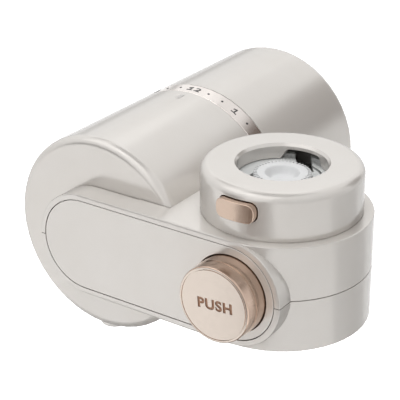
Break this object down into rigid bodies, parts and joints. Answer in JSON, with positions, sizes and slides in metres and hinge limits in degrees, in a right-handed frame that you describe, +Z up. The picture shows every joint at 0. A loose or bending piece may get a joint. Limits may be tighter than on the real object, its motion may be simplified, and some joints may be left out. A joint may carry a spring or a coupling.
{
  "type": "faucet mount water filter",
  "caption": "Tap filter with a quick release collar, a push button valve housing and a round filter drum lying beside it.",
  "frame": {"origin": "on the faucet's axis, level with the collar's mouth", "axes": "+Z up along the faucet's axis, -Y towards the push button's face, -X towards the filter drum, whose axis runs along Y"},
  "size_m": [0.1269, 0.1341, 0.0732],
  "materials": {
    "collar": "satin ivory",
    "release_button": "satin rose gold plating",
    "latch_plate": "moulded light grey",
    "release_spring_left": "spring wire",
    "release_spring_right": "spring wire",
    "inlet_seat": "moulded black",
    "inlet_strainer": "moulded white",
    "inlet_seal": "soft rubber",
    "upper_shell": "satin ivory",
    "lower_shell": "satin ivory",
    "front_panel": "satin ivory",
    "push_button": "satin rose gold plating",
    "button_spring": "spring wire",
    "diverter_spool": "moulded white",
    "spool_seal_front": "soft rubber",
    "spool_seal_rear": "soft rubber",
    "valve_core": "moulded white",
    "feed_tube": "drawn tube",
    "spray_plate": "moulded white",
    "front_barrel": "satin ivory",
    "outlet_nozzle": "satin ivory",
    "barrel_seal": "soft rubber",
    "dial_ring": "satin rose gold plating",
    "rear_cap": "satin ivory",
    "cartridge_front_cap": "moulded white",
    "cartridge_block": "wrapped filter block",
    "cartridge_rear_cap": "moulded white",
    "cartridge_seal": "soft rubber",
    "housing_screw_1": "plain steel",
    "housing_screw_2": "plain steel",
    "housing_screw_3": "plain steel",
    "barrel_screw_1": "plain steel",
    "barrel_screw_2": "plain steel"
  },
  "bodies": {
    "housing": {"collar": "collar", "release_spring_left": "release_spring_left", "release_spring_right": "release_spring_right", "inlet_seat": "inlet_seat", "inlet_strainer": "inlet_strainer", "inlet_seal": "inlet_seal", "upper_shell": "upper_shell", "lower_shell": "lower_shell", "front_panel": "front_panel", "button_spring": "button_spring", "valve_core": "valve_core", "feed_tube": "feed_tube", "spray_plate": "spray_plate", "front_barrel": "front_barrel", "outlet_nozzle": "outlet_nozzle", "barrel_seal": "barrel_seal", "housing_screw_1": "housing_screw_1", "housing_screw_2": "housing_screw_2", "housing_screw_3": "housing_screw_3", "barrel_screw_1": "barrel_screw_1", "barrel_screw_2": "barrel_screw_2"},
    "release_key": {"release_button": "release_button", "latch_plate": "latch_plate"},
    "diverter": {"push_button": "push_button", "diverter_spool": "diverter_spool", "spool_seal_front": "spool_seal_front", "spool_seal_rear": "spool_seal_rear"},
    "dial": {"dial_ring": "dial_ring"},
    "cartridge": {"cartridge_front_cap": "cartridge_front_cap", "cartridge_block": "cartridge_block", "cartridge_rear_cap": "cartridge_rear_cap", "cartridge_seal": "cartridge_seal"},
    "cap": {"rear_cap": "rear_cap"}
  },
  "joints": [
    {"name": "push_button", "type": "slide", "parent": "housing", "child": "diverter", "axis": [0, 1, 0], "range_m": [0, 0.0045], "stiffness_N_per_m": 400, "springref_m": -0.004, "deforming": ["button_spring"]},
    {"name": "release_button", "type": "slide", "parent": "housing", "child": "release_key", "axis": [0, 1, 0], "range_m": [0, 0.0018], "stiffness_N_per_m": 600, "springref_m": -0.002, "deforming": ["release_spring_left", "release_spring_right"]},
    {"name": "dial_ring", "type": "hinge", "parent": "housing", "child": "dial", "pos_m": [-0.0605, 0.0364, -0.0349], "axis": [0, 1, 0], "continuous": true},
    {"name": "cartridge", "type": "slide", "parent": "housing", "child": "cartridge", "axis": [0, 1, 0], "range_m": [0, 0.068]},
    {"name": "rear_cap", "type": "slide", "parent": "cartridge", "child": "cap", "axis": [0, 1, 0], "range_m": [0, 0.056]}
  ]
}
